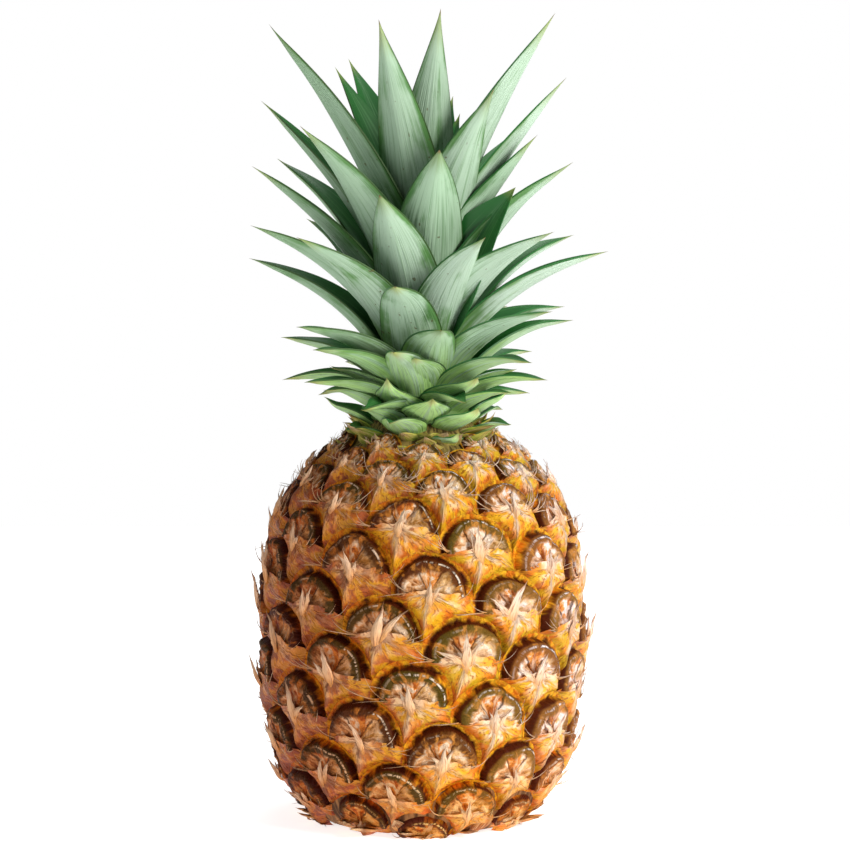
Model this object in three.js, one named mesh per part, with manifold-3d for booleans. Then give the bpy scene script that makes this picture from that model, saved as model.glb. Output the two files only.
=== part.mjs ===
// A ripe pineapple standing upright on its flat cut base: the many-eyed fruit, the cut end of its stalk,
// a collar of dry scale leaves and the green crown. Millimetres, +Z up, the front faces -Y.
// The origin is the middle of the base, on the surface that the fruit stands on.
import * as THREE from "three";
import { mergeVertices } from "three/addons/utils/BufferGeometryUtils.js";
import Module from "manifold-3d";

const wasm = await Module();
wasm.setup();

// Driving dimensions of the fruit
const FRUIT_HEIGHT = 147;
const FRUIT_RADIUS = 58.5; // at the widest level, down in the grooves between the eyes
// The fruit's outline as [radius, height], from under the base to above the seat of the crown
const FRUIT_OUTLINE = [
  [30, -4],
  [38, 1],
  [46.5, 10],
  [52.5, 22],
  [56.5, 40],
  [FRUIT_RADIUS, 64],
  [58, 88],
  [55.5, 107],
  [49.5, 122],
  [40, 134.5],
  [29, 144],
  [20, 150],
];

// The eyes follow one spiral: each stands a fixed turn and rise past the last, in rows of 5, 9 and 14
const EYE_TURN = -77.955; // degrees, seen from the front a step of 5 eyes leans up to the left
const EYE_RISE = 1.72; // climb per eye at the widest level
const EYE_SHRINK = 0.75; // how closely the rise follows the outline's radius where the fruit narrows
const EYE_PHASE = 60.3; // degrees, where the first eye stands
const ROWS_LEFT = 5;
const ROWS_RIGHT = 9;
const CELL_REACH = 8; // eyes of rise that one cell reaches above and below its middle

// Relief of one eye, as heights over the outline: a rim with a dish inside it on the upper half, and
// the swelling foot of the bract on the lower half
const GROOVE_DEPTH = 1.3;
const DOME_RIM = 2.3;
const DOME_DISH = 1.1;
const BRACT_FOOT = 1.1;
const BRACT_SWELL = 2.6;
const VIGOUR_SPREAD = 0.12; // how much the relief varies from eye to eye
const SCALLOP = 0.16; // how far the round top of an eye pushes up into the eye above it
const RIM_SHARE = 0.8; // the rim's and the dish's places between the middle and the edge of the cell
const DISH_SHARE = 0.5;

// The dry pointed tip of each eye's bract
const TIP_OUT = 5;
const TIP_UP = 7.5;
const TIP_HALF_WIDTH = 2;
const TIP_HALF_THICKNESS = 0.9;
const TIP_SWAY = 2;
const FULL_TIP_RADIUS = 50; // where the fruit is narrower than this, the tips are shorter
const SHORTEST_TIP = 0.3;

// The cut stalk in the base
const STALK_RADIUS = 12;
const STALK_DEPTH = 14;
const CLEARANCE = 0.3; // between pieces that touch

// The collar of dry scale leaves on the fruit's top
const COLLAR_RADIUS = 25;
const COLLAR_HEIGHT = 4.5;
const COLLAR_LEAVES = 17;
const COLLAR_LEAF_WIDTH = 11;
const COLLAR_ROOT = [14, 1.6]; // radius and height above the collar's foot
const COLLAR_TIP = [34, 2];

// The crown: a short stem with leaves in one golden-angle spiral, counted from the lowest
const CROWN_LEAVES = 58;
const LEAF_TURN = 137.508;
const LEAF_PHASE = 194.8;
const LEAF_THICKNESS = 1.3;
const LEAF_EDGE_THICKNESS = 0.7;
const LEAF_FOLD = 0.5; // how far the edges stand in towards the axis, as a share of the half width
const LEAF_BASE = 0.45; // a leaf's width at its root, as a share of its full width
// Outline of the crown's stem as [radius, height above the collar]
const STEM_OUTLINE = [
  [0, 0],
  [19, 0],
  [16, 8],
  [13, 22],
  [9, 38],
  [5, 58],
  [0, 64],
];
// Values at equal steps from the lowest leaf to the innermost one
const TIP_HEIGHT = [3, 18, 34, 57, 82, 108, 134, 146];
const TIP_RADIUS = [40, 51, 60, 67, 66, 61, 50, 20];
const ROOT_HEIGHT = [1.5, 5, 9, 16, 24, 33, 43, 54];
const ROOT_RADIUS = [13, 13, 12, 11, 9, 7, 5, 2];
const LEAF_WIDTH = [15, 17, 21, 25, 28, 28, 28, 26];
const LEAF_BOW = [0.2, 0.2, 0.2, 0.2, 0.17, 0.14, 0.1, 0.04];
// Leaves whose points are placed by eye, as [azimuth, tip radius, tip height, own bow if it has one,
// where it faces if not outwards].
// The others take theirs from the lists above.
const PLACED_LEAVES = {
  1: [-30, 42, 6],
  4: [22, 44, 10],
  9: [-12, 50, 29, 0.2],
  11: [-98, 53, 13],
  15: [107, 60, 36],
  16: [-110, 57, 27],
  17: [8, 52, 37, 0.2],
  19: [-50, 60, 37],
  20: [52, 61, 43],
  22: [-10, 55, 55, 0.18],
  23: [115, 60, 40],
  24: [-103, 67, 58],
  25: [23, 59, 73],
  27: [-42, 68, 71],
  28: [83, 70, 63],
  30: [-17, 53, 86, 0.16],
  31: [124, 70, 66],
  32: [-70, 67, 74],
  33: [46, 67, 73],
  35: [-84, 64, 94],
  36: [72, 58, 98],
  37: [-120, 63, 96],
  38: [7, 54, 103, 0.15],
  39: [145, 63, 105],
  40: [-44, 63, 112],
  41: [58, 40, 88, 0.08, 140],
  43: [68, 47, 106],
  44: [76, 56, 127],
  45: [-104, 63, 117],
  46: [27, 57, 126],
  48: [-148, 52, 133],
  49: [166, 50, 118],
  51: [14, 30, 153],
  52: [150, 30, 112],
  53: [-72, 58, 148],
  54: [57, 58, 152],
  55: [176, 22, 134],
  56: [-20, 45, 150],
  57: [95, 8, 124],
};
const MISSING_LEAVES = [34];
const SMALLEST_DETAIL = 0.12; // slivers under this size are merged away where leaves run into each other

const degrees = THREE.MathUtils.degToRad;

// A repeatable draw between -1 and 1
function scatter(index, salt) {
  const wave = Math.sin(index * 12.9898 + salt * 78.233) * 43758.5453;
  return 2 * (wave - Math.floor(wave)) - 1;
}

// The value at a share of the way along a list of equally spaced values
function along(values, share) {
  const place = THREE.MathUtils.clamp(share, 0, 1) * (values.length - 1);
  const step = Math.min(Math.floor(place), values.length - 2);
  return THREE.MathUtils.lerp(values[step], values[step + 1], place - step);
}

function asSolid(geometry) {
  const bare = geometry.clone();
  bare.deleteAttribute("normal");
  bare.deleteAttribute("uv");
  const merged = mergeVertices(bare, 1e-4);
  return new wasm.Manifold(
    new wasm.Mesh({
      numProp: 3,
      vertProperties: merged.attributes.position.array,
      triVerts: new Uint32Array(merged.index.array),
    }),
  );
}

function asGeometry(solid) {
  const mesh = solid.getMesh();
  const geometry = new THREE.BufferGeometry();
  geometry.setAttribute(
    "position",
    new THREE.BufferAttribute(new Float32Array(mesh.vertProperties), 3),
  );
  geometry.setIndex(new THREE.BufferAttribute(new Uint32Array(mesh.triVerts), 1));
  return geometry.toNonIndexed();
}

// The largest of the bodies that a solid falls into, without the loose scraps that a cut leaves
function mainBody(solid) {
  return solid
    .decompose()
    .reduce((largest, body) => (body.volume() > largest.volume() ? body : largest));
}

function facets(points, triangles) {
  const geometry = new THREE.BufferGeometry().setFromPoints(points);
  geometry.setIndex(triangles);
  return geometry;
}

// The fruit's outline, with the eye count as the measure of height along it
const outline = new THREE.SplineCurve(
  FRUIT_OUTLINE.map(([radius, height]) => new THREE.Vector2(radius, height)),
);
const OUTLINE_STEPS = 400;
const outlinePoints = outline.getSpacedPoints(OUTLINE_STEPS);
const eyesBelow = [0];
for (let i = 1; i <= OUTLINE_STEPS; i++) {
  const radius = (outlinePoints[i].x + outlinePoints[i - 1].x) / 2;
  const rise = EYE_RISE * (radius / FRUIT_RADIUS) ** EYE_SHRINK;
  const length = outlinePoints[i].distanceTo(outlinePoints[i - 1]);
  eyesBelow.push(eyesBelow[i - 1] + length / rise);
}
const lastLevel = eyesBelow[OUTLINE_STEPS];

// A point of the fruit at an angle from the front and a level in eyes, raised off the outline
function fruitPoint(angle, level, raised) {
  const wanted = THREE.MathUtils.clamp(level, 0, lastLevel);
  let i = eyesBelow.findIndex((count) => count >= wanted);
  i = THREE.MathUtils.clamp(i, 1, OUTLINE_STEPS);
  const share = (wanted - eyesBelow[i - 1]) / (eyesBelow[i] - eyesBelow[i - 1]);
  const place = outlinePoints[i - 1].clone().lerp(outlinePoints[i], share);
  const run = outlinePoints[i].clone().sub(outlinePoints[i - 1]).normalize();
  const radius = place.x + raised * run.y;
  const height = place.y - raised * run.x;
  return new THREE.Vector3(
    radius * Math.sin(degrees(angle)),
    -radius * Math.cos(degrees(angle)),
    height,
  );
}

// The step from one eye to the eye that many places further up the spiral, as [degrees, levels]
function eyeStep(count) {
  const turn = EYE_TURN * count;
  return [turn - 360 * Math.round(turn / 360), count];
}

const stepLeft = eyeStep(ROWS_LEFT);
const stepRight = eyeStep(ROWS_RIGHT);
const stepUp = eyeStep(ROWS_LEFT + ROWS_RIGHT);
const reversed = ([angle, level]) => [-angle, -level];
// The six neighbours of an eye, anticlockwise from the one on the right
const neighbours = [
  reversed(stepLeft),
  stepRight,
  stepUp,
  stepLeft,
  reversed(stepRight),
  reversed(stepUp),
];

// The edge of an eye's cell: six corners, each followed by the middle of the side after it. A side
// bulges up out of the lower of its two eyes.
function cellEdge() {
  const edge = [];
  neighbours.forEach((here, i) => {
    const before = neighbours[(i + 5) % 6];
    edge.push([(before[0] + here[0]) / 3, (before[1] + here[1]) / 3]);
    const bulge = 0.5 * (1 + SCALLOP * Math.sign(here[1]));
    edge.push([here[0] * bulge, here[1] * bulge]);
  });
  return edge;
}

const edge = cellEdge();
const corners = edge.filter((_, i) => i % 2 === 0);
// How far up or down each edge point lies, from -1 at the foot of the cell to 1 at its top
const edgeLift = edge.map(([, level]) => level / CELL_REACH);

// The points of one eye, ring by ring from the edge of its cell to the point of its bract
function eyePoints(index) {
  const angle = EYE_PHASE + index * EYE_TURN;
  const vigour = 1 + VIGOUR_SPREAD * scatter(index, 1);
  const upper = (lift) => THREE.MathUtils.smoothstep(lift, -0.25, 0.35);
  const at = ([turn, rise], share, raised) =>
    fruitPoint(angle + turn * share, index + rise * share, raised);
  const rim = edge.map((place, i) =>
    at(place, RIM_SHARE, vigour * THREE.MathUtils.lerp(BRACT_FOOT, DOME_RIM, upper(edgeLift[i]))),
  );
  const dish = corners.map((place) => {
    const lift = place[1] / CELL_REACH;
    return at(
      place,
      DISH_SHARE,
      vigour * THREE.MathUtils.lerp(BRACT_SWELL, DOME_DISH, upper(lift)),
    );
  });
  return [
    edge.map((place) => at(place, 1, -GROOVE_DEPTH)),
    rim,
    dish,
    ...bractTip(angle, index, vigour),
  ];
}

// The dry tip: a flat three-cornered root round the eye's middle and a point that leans out and up
function bractTip(angle, index, vigour) {
  const foot = fruitPoint(angle, index, BRACT_SWELL * 0.8);
  const out = fruitPoint(angle, index, BRACT_SWELL + 1).sub(foot).normalize();
  const across = new THREE.Vector3(Math.cos(degrees(angle)), Math.sin(degrees(angle)), 0);
  const up = out.clone().cross(across);
  const root = [
    [1, 0],
    [0, 1],
    [-1, 0],
    [0, -1],
  ].map(([side, height]) =>
    foot
      .clone()
      .addScaledVector(across, side * TIP_HALF_WIDTH)
      .addScaledVector(up, height * TIP_HALF_THICKNESS),
  );
  const narrowing = THREE.MathUtils.clamp(
    Math.hypot(foot.x, foot.y) / FULL_TIP_RADIUS,
    SHORTEST_TIP,
    1,
  );
  const reach = vigour * narrowing;
  const point = foot
    .clone()
    .addScaledVector(out, reach * TIP_OUT)
    .addScaledVector(up, reach * TIP_UP)
    .addScaledVector(across, TIP_SWAY * scatter(index, 2));
  return [root, [point]];
}

// Triangles between an outer and an inner ring, the inner one with as many points, fewer or only one
function bridge(outer, inner, triangles) {
  for (let i = 0; i < outer.length; i++) {
    const next = (i + 1) % outer.length;
    const a = Math.floor((i * inner.length) / outer.length + 0.5) % inner.length;
    const b = Math.floor(((i + 1) * inner.length) / outer.length + 0.5) % inner.length;
    triangles.push(outer[i], outer[next], inner[b]);
    if (a !== b) triangles.push(outer[i], inner[b], inner[a]);
  }
}

// The skin of all eyes, closed by a fan at each end
function eyeSkin() {
  const points = [];
  const triangles = [];
  const known = new Map();
  const number = (point) => {
    const key = point.toArray().map((x) => Math.round(x * 1e3)).join();
    if (!known.has(key)) known.set(key, points.push(point) - 1);
    return known.get(key);
  };
  for (let index = CELL_REACH; index <= lastLevel - CELL_REACH; index++) {
    const rings = eyePoints(index).map((ring) => ring.map(number));
    for (let i = 1; i < rings.length; i++) bridge(rings[i - 1], rings[i], triangles);
  }
  const foot = number(new THREE.Vector3(0, 0, -FAN_REACH));
  const head = number(new THREE.Vector3(0, 0, FRUIT_HEIGHT + FAN_REACH));
  for (const [from, to] of openEdges(triangles)) {
    const low = points[from].z < FRUIT_HEIGHT / 2;
    triangles.push(to, from, low ? foot : head);
  }
  return facets(points, triangles);
}

// The edges that only one triangle uses
function openEdges(triangles) {
  const open = new Map();
  for (let i = 0; i < triangles.length; i += 3) {
    for (let side = 0; side < 3; side++) {
      const from = triangles[i + side];
      const to = triangles[i + ((side + 1) % 3)];
      if (!open.delete(`${to},${from}`)) open.set(`${from},${to}`, [from, to]);
    }
  }
  return open.values();
}

const ROUND_SIDES = 20;
const STEM_SIDES = 12;
const CUTTER = 200; // side of the boxes that cut the ends flat
const FAN_REACH = 8; // how far past each end the skin is closed, before the ends are cut flat

function disc(radius, low, high) {
  const geometry = new THREE.CylinderGeometry(radius, radius, high - low, ROUND_SIDES);
  geometry.rotateX(Math.PI / 2);
  return geometry.translate(0, 0, (low + high) / 2);
}

function makeFruit() {
  const below = new THREE.BoxGeometry(CUTTER, CUTTER, CUTTER).translate(0, 0, -CUTTER / 2);
  const above = below.clone().translate(0, 0, CUTTER + FRUIT_HEIGHT);
  const socket = disc(STALK_RADIUS + CLEARANCE, -1, STALK_DEPTH + CLEARANCE);
  let solid = asSolid(eyeSkin());
  for (const cut of [below, above, socket]) solid = solid.subtract(asSolid(cut));
  return asGeometry(mainBody(solid));
}

function makeStalk() {
  return disc(STALK_RADIUS, 0, STALK_DEPTH);
}

// A leaf's half width at a share of its length, for a full half width of 1
function leafSpread(share) {
  const base = THREE.MathUtils.lerp(LEAF_BASE, 1, THREE.MathUtils.smoothstep(share, 0, 0.3));
  return base * Math.cos((Math.PI / 2) * share ** 1.5) ** 1.3;
}

// One leaf: a thin channelled blade along a curve from its root in the stem to its point
function leafBlade({ azimuth, facing = azimuth, root, tip, bow, width, sway = 0, sections }) {
  const turn = degrees(azimuth);
  const outward = new THREE.Vector3(Math.sin(turn), -Math.cos(turn), 0);
  const sideways = new THREE.Vector3(Math.cos(degrees(facing)), Math.sin(degrees(facing)), 0);
  const place = ([radius, height], side = 0) =>
    new THREE.Vector3(0, 0, height)
      .addScaledVector(outward, radius)
      .addScaledVector(sideways, side);
  const from = place(root);
  const to = place(tip, sway);
  const chord = to.clone().sub(from);
  const lift = sideways.clone().cross(chord).multiplyScalar(-bow);
  const middle = from.clone().lerp(to, 0.5).add(lift);
  const rib = new THREE.QuadraticBezierCurve3(from, middle, to);
  const points = [];
  const triangles = [];
  for (let i = 0; i < sections; i++) {
    const share = i / sections;
    const centre = rib.getPointAt(share);
    const run = rib.getTangentAt(share);
    const across = sideways.clone().addScaledVector(run, -sideways.dot(run)).normalize();
    const inner = across.clone().cross(run).negate();
    const half = (width / 2) * leafSpread(share);
    for (const side of [-1, 0, 1]) {
      const thickness = side ? LEAF_EDGE_THICKNESS : LEAF_THICKNESS;
      const spot = centre.clone().addScaledVector(across, side * half);
      if (side) spot.addScaledVector(inner, LEAF_FOLD * half);
      points.push(spot.clone().addScaledVector(inner, -thickness / 2));
      points.push(spot.clone().addScaledVector(inner, thickness / 2));
    }
  }
  // Round each section: the outer face from left to right, then the inner face back again
  const loop = [0, 2, 4, 5, 3, 1];
  const tipPoint = points.push(to) - 1;
  for (let i = 0; i < sections; i++) {
    const here = loop.map((n) => i * 6 + n);
    const ahead = i + 1 < sections ? loop.map((n) => (i + 1) * 6 + n) : null;
    here.forEach((point, n) => {
      const next = (n + 1) % 6;
      if (!ahead) triangles.push(point, here[next], tipPoint);
      else if (n === 0 || n === 4) {
        triangles.push(point, ahead[next], ahead[n], point, here[next], ahead[next]);
      } else triangles.push(point, here[next], ahead[n], here[next], ahead[next], ahead[n]);
    });
  }
  triangles.push(0, 1, 2, 1, 3, 2, 2, 3, 4, 3, 5, 4);
  return facets(points, triangles);
}

// Where leaf number k of the crown stands and how it is shaped
function crownLeaf(k) {
  const share = k / (CROWN_LEAVES - 1);
  const size = 1 + 0.06 * scatter(k, 4);
  const [azimuth, tipRadius, tipHeight, bow, facing] = PLACED_LEAVES[k] ?? [
    LEAF_PHASE + k * LEAF_TURN + 5 * scatter(k, 3),
    along(TIP_RADIUS, share) * size,
    along(TIP_HEIGHT, share) * size,
  ];
  return {
    azimuth,
    facing,
    root: [along(ROOT_RADIUS, share), along(ROOT_HEIGHT, share)],
    tip: [tipRadius, tipHeight],
    bow: bow ?? along(LEAF_BOW, share),
    width: along(LEAF_WIDTH, share),
    sections: share < 0.3 ? 4 : 5,
  };
}

const COLLAR_FOOT = FRUIT_HEIGHT + CLEARANCE;
const CROWN_FOOT = COLLAR_FOOT + COLLAR_HEIGHT + CLEARANCE;

function makeCollar() {
  let solid = asSolid(disc(COLLAR_RADIUS, COLLAR_FOOT, COLLAR_FOOT + COLLAR_HEIGHT));
  for (let k = 0; k < COLLAR_LEAVES; k++) {
    const blade = leafBlade({
      azimuth: k * LEAF_TURN,
      root: [COLLAR_ROOT[0], COLLAR_FOOT + COLLAR_ROOT[1]],
      tip: [COLLAR_TIP[0] + 3 * scatter(k, 6), COLLAR_FOOT + COLLAR_TIP[1] + 1.5 * scatter(k, 7)],
      bow: 0.08,
      width: COLLAR_LEAF_WIDTH,
      sway: 2 * scatter(k, 8),
      sections: 3,
    });
    solid = solid.add(asSolid(blade));
  }
  const top = COLLAR_FOOT + COLLAR_HEIGHT;
  const above = new THREE.BoxGeometry(CUTTER, CUTTER, CUTTER).translate(0, 0, top + CUTTER / 2);
  return asGeometry(mainBody(solid.subtract(asSolid(above))));
}

function makeCrown() {
  const stem = new THREE.LatheGeometry(
    STEM_OUTLINE.map(([radius, height]) => new THREE.Vector2(radius, height)),
    STEM_SIDES,
  );
  let solid = asSolid(stem.rotateX(Math.PI / 2));
  for (let k = 0; k < CROWN_LEAVES; k++) {
    if (!MISSING_LEAVES.includes(k)) solid = solid.add(asSolid(leafBlade(crownLeaf(k))));
  }
  return asGeometry(mainBody(solid).simplify(SMALLEST_DETAIL)).translate(0, 0, CROWN_FOOT);
}

const finishes = {
  fruit: { color: 0xb8752c, roughness: 0.55 },
  stalk: { color: 0xb39a6b, roughness: 0.9 },
  collar: { color: 0x8a7433, roughness: 0.8 },
  crown: { color: 0x6f9f74, roughness: 0.5 },
};
const makers = { fruit: makeFruit, stalk: makeStalk, collar: makeCollar, crown: makeCrown };

const pineapple = new THREE.Group();
for (const [name, make] of Object.entries(makers)) {
  const material = new THREE.MeshStandardMaterial({ ...finishes[name], metalness: 0 });
  const mesh = new THREE.Mesh(make(), material);
  mesh.name = name;
  pineapple.add(mesh);
}

export default pineapple;
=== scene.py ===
# A ripe pineapple standing upright on a pale floor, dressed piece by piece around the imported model.
import math

import bpy
import numpy as np
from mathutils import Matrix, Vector, noise


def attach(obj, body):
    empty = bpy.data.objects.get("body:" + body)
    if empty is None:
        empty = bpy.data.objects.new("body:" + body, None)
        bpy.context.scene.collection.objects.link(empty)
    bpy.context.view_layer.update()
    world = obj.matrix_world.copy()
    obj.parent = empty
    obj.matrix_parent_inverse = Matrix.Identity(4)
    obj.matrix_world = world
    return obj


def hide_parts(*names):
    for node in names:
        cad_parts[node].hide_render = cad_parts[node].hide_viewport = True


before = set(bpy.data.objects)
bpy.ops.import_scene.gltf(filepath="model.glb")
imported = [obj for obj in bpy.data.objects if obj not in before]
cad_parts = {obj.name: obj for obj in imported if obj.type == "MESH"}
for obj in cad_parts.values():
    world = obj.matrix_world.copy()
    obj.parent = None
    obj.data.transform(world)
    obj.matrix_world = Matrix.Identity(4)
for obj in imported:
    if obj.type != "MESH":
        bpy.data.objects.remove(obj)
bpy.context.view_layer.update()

# Camera
# A long lens almost level with the fruit, as the photograph was taken. The fruit's axis stands a
# little left of the frame's middle, and its base near the bottom edge.
MM = 0.001
FRAME_PIXELS = 850
PIXEL = 0.375 * MM
CAMERA_DISTANCE = 1.6
CAMERA_ELEVATION = math.radians(7)
SENSOR = 36.0
AIM = Vector((1.3 * MM, 0, 149.2 * MM))

towards_camera = Vector((0, -math.cos(CAMERA_ELEVATION), math.sin(CAMERA_ELEVATION)))
bpy.ops.object.camera_add(location=AIM + CAMERA_DISTANCE * towards_camera)
camera = bpy.context.object
camera.rotation_euler = (math.pi / 2 - CAMERA_ELEVATION, 0, 0)
camera.data.sensor_width = SENSOR
camera.data.lens = SENSOR * CAMERA_DISTANCE / (FRAME_PIXELS * PIXEL)
bpy.context.scene.camera = camera


# Floor and light
# A white floor that runs on as a white backdrop, one soft key light from the right, a wide one from
# above and a weak fill from the left, so that the left flank of the fruit is in shade.
def flat_material(name, colour, roughness):
    material = bpy.data.materials.new(name)
    material.use_nodes = True
    shader = material.node_tree.nodes["Principled BSDF"]
    shader.inputs["Base Color"].default_value = (*colour, 1)
    shader.inputs["Roughness"].default_value = roughness
    return material


FLOOR_SIZE = 1.5
FLOOR_GLOW = 0.75
bpy.ops.mesh.primitive_plane_add(size=FLOOR_SIZE, location=(0, 0, 0))
floor = bpy.context.object
floor.name = "floor"
floor_material = flat_material("white_floor", (0.9, 0.9, 0.9), 0.8)
floor_shader = floor_material.node_tree.nodes["Principled BSDF"]
floor_shader.inputs["Emission Color"].default_value = (1, 1, 1, 1)
floor_shader.inputs["Emission Strength"].default_value = FLOOR_GLOW
floor.data.materials.append(floor_material)


def soft_light(name, place, size, watts, colour):
    bpy.ops.object.light_add(type="AREA", location=place)
    light = bpy.context.object
    light.name = name
    light.data.shape = "DISK"
    light.data.size = size
    light.data.energy = watts
    light.data.color = colour
    light.rotation_euler = (AIM - Vector(place)).to_track_quat("-Z", "Y").to_euler()


soft_light("key_light", (1.0, -0.85, 0.7), 0.5, 18, (1.0, 0.98, 0.94))
soft_light("top_light", (0.15, 0.25, 1.5), 0.9, 7, (1.0, 1.0, 1.0))
soft_light("fill_light", (-1.1, -0.9, 0.5), 0.9, 2.4, (0.97, 0.98, 1.0))

# The room is seen as pure white, but gives only a dim even light
ROOM_LIGHT = 0.27
world = bpy.data.worlds.new("white_room")
world.use_nodes = True
world_nodes = world.node_tree.nodes
path = world_nodes.new("ShaderNodeLightPath")
strength = world_nodes.new("ShaderNodeMapRange")
strength.inputs["To Min"].default_value = ROOM_LIGHT
strength.inputs["To Max"].default_value = 1
world_nodes["Background"].inputs["Color"].default_value = (1, 1, 1, 1)
world.node_tree.links.new(path.outputs["Is Camera Ray"], strength.inputs["Value"])
world.node_tree.links.new(strength.outputs["Result"], world_nodes["Background"].inputs["Strength"])
bpy.context.scene.world = world
bpy.context.scene.view_settings.view_transform = "Standard"


# The fruit's barrel and the spiral of its eyes
# The skin follows one upright outline, and its eyes stand along one spiral on it, a fixed turn and
# a fixed rise apart, which puts them in rows of 5, 9 and 14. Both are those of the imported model.
FRUIT_RADIUS = 58.5 * MM
OUTLINE = [(30, -4), (38, 1), (46.5, 10), (52.5, 22), (56.5, 40), (58.5, 64), (58, 88)]
OUTLINE += [(55.5, 107), (49.5, 122), (40, 134.5), (29, 144), (20, 150)]
EYE_TURN = math.radians(-77.955)
EYE_PHASE = math.radians(60.3)
EYE_RISE = 1.72 * MM
EYE_SHRINK = 0.75
CELL_REACH = 8
CURVE_STEPS = 60


def smooth_outline(points):
    """The smooth curve through an outline's points, as an array of [radius, height]."""
    ends = [points[0], *points, points[-1]]
    curve = []
    for before, here, ahead, after in zip(ends, ends[1:], ends[2:], ends[3:]):
        before, here, ahead, after = map(np.array, (before, here, ahead, after))
        for share in np.linspace(0, 1, CURVE_STEPS, endpoint=False):
            start = (ahead - before) / 2
            end = (after - here) / 2
            bend = 2 * here - 2 * ahead + start + end
            dip = 3 * ahead - 3 * here - 2 * start - end
            curve.append(bend * share**3 + dip * share**2 + start * share + here)
    return np.array([*curve, points[-1]]) * MM


barrel = smooth_outline(OUTLINE)
barrel_steps = np.diff(barrel, axis=0)
barrel_lengths = np.linalg.norm(barrel_steps, axis=1)
barrel_middles = (barrel[1:, 0] + barrel[:-1, 0]) / 2
rises = EYE_RISE * (barrel_middles / FRUIT_RADIUS) ** EYE_SHRINK
barrel_levels = np.concatenate([[0], np.cumsum(barrel_lengths / rises)])
barrel_runs = np.gradient(barrel, axis=0)
barrel_runs /= np.linalg.norm(barrel_runs, axis=1)[:, None]
LAST_LEVEL = barrel_levels[-1]

UNEVENNESS = 1.4 * MM
UNEVEN_SCALE = 24 * MM
# The seed keeps the noise the same in each run
NOISE_SEED = 5
noise.seed_set(NOISE_SEED)


def uneven(points):
    """How far the skin at each point has grown out of its place, as vectors."""
    flat = points.reshape(-1, 3) / UNEVEN_SCALE
    drift = np.array([noise.noise_vector(Vector(point)) for point in flat])
    return UNEVENNESS * drift.reshape(points.shape)


def on_barrel(turn, level, raised):
    """Points at turns from the front and levels in eyes, raised off the outline, as an array."""
    radius, height, run_out, run_up = (
        np.interp(level, barrel_levels, column)
        for column in (barrel[:, 0], barrel[:, 1], barrel_runs[:, 0], barrel_runs[:, 1])
    )
    radius = radius + raised * run_up
    height = height - raised * run_out
    points = np.stack([radius * np.sin(turn), -radius * np.cos(turn), height], axis=-1)
    return points + uneven(points)


def cell_size(level):
    """How large an eye is at a level, as a share of one at the widest place."""
    return np.interp(level, barrel_levels, barrel[:, 0]) / FRUIT_RADIUS


def scatter(index, salt):
    """A repeatable draw between -1 and 1, another one for each index and salt."""
    wave = math.sin(index * 12.9898 + salt * 78.233) * 43758.5453
    return 2 * (wave - math.floor(wave)) - 1


def draw_pair(index, salt):
    """Two repeatable draws between 0 and 1."""
    return 0.5 + 0.5 * scatter(index, salt), 0.5 + 0.5 * scatter(index, salt + 1)


def smooth(low, high, value):
    """A soft step from 0 at low to 1 at high."""
    share = np.clip((value - low) / (high - low), 0, 1)
    return share * share * (3 - 2 * share)


# Skin of the fruit
# One leathery rind of about a hundred eyes. The upper half of an eye is a domed scar with a raised
# rim and a sunk middle, and its lower half the foot of a bract, whose lip stands off the dome above.
# One eye is modelled as a round grid, copied to each place of the spiral and all are welded.
ROWS_LEFT = 5
ROWS_RIGHT = 9


def lattice_step(count):
    """The step to the eye that many places up the spiral, in metres across and up at the widest."""
    turn = EYE_TURN * count
    turn -= 2 * math.pi * round(turn / (2 * math.pi))
    return np.array([turn * FRUIT_RADIUS, count * EYE_RISE])


to_left = lattice_step(ROWS_LEFT)
to_right = lattice_step(ROWS_RIGHT)
to_top = lattice_step(ROWS_LEFT + ROWS_RIGHT)

# The six corners of a cell, where the grooves round three domes meet, anticlockwise from low right
CORNER_UPPER_LEFT = np.array([-14.6, 5.5]) * MM
CORNER_LOWER_LEFT = np.array([-15.2, -1.4]) * MM
corner_low_right = CORNER_LOWER_LEFT - to_left
corner_right = CORNER_UPPER_LEFT - to_left
corner_top = CORNER_LOWER_LEFT + to_right
corner_bottom = CORNER_UPPER_LEFT - to_top
EYE_MIDDLE = np.array([0, -1.0]) * MM
RIGHT_STEPS = 15
TOP_STEPS = 14
LEFT_STEPS = 4


def groove_arc(start, end, steps):
    """Points round the middle of an eye, from one corner of its cell to the next."""
    a = start - EYE_MIDDLE
    b = end - EYE_MIDDLE
    angles = np.linspace(math.atan2(a[1], a[0]), math.atan2(b[1], b[0]) % (2 * math.pi), steps + 1)
    reach = np.linspace(np.linalg.norm(a), np.linalg.norm(b), steps + 1)
    return EYE_MIDDLE + np.stack([reach * np.cos(angles), reach * np.sin(angles)], axis=-1)


right_arc = groove_arc(corner_right, corner_top, RIGHT_STEPS)
top_arc = groove_arc(corner_top, CORNER_UPPER_LEFT, TOP_STEPS)
left_arc = groove_arc(CORNER_UPPER_LEFT, CORNER_LOWER_LEFT, LEFT_STEPS)

# Round the cell from its right corner: the dome's three arcs, then the arcs of the three domes below
upper_edge = np.concatenate([right_arc[:-1], top_arc[:-1], left_arc])
lower_edge = np.concatenate(
    [(right_arc - to_right)[::-1][:-1], (top_arc - to_top)[::-1][:-1], (left_arc - to_left)[::-1]]
)
# The bract's lip takes two extra spokes at each end of the dome's half
left_end = CORNER_LOWER_LEFT[None]
right_end = corner_right[None]
edge = np.concatenate(
    [upper_edge, left_end, left_end, lower_edge[1:-1], right_end, right_end, right_end]
)
DOME, UNDER_LIP, LIP, BRACT = range(4)
spoke_kinds = np.array(
    [DOME] * len(upper_edge)
    + [UNDER_LIP, LIP]
    + [BRACT] * (len(lower_edge) - 2)
    + [LIP, UNDER_LIP, DOME]
)
SPOKES = len(edge) - 1

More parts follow.
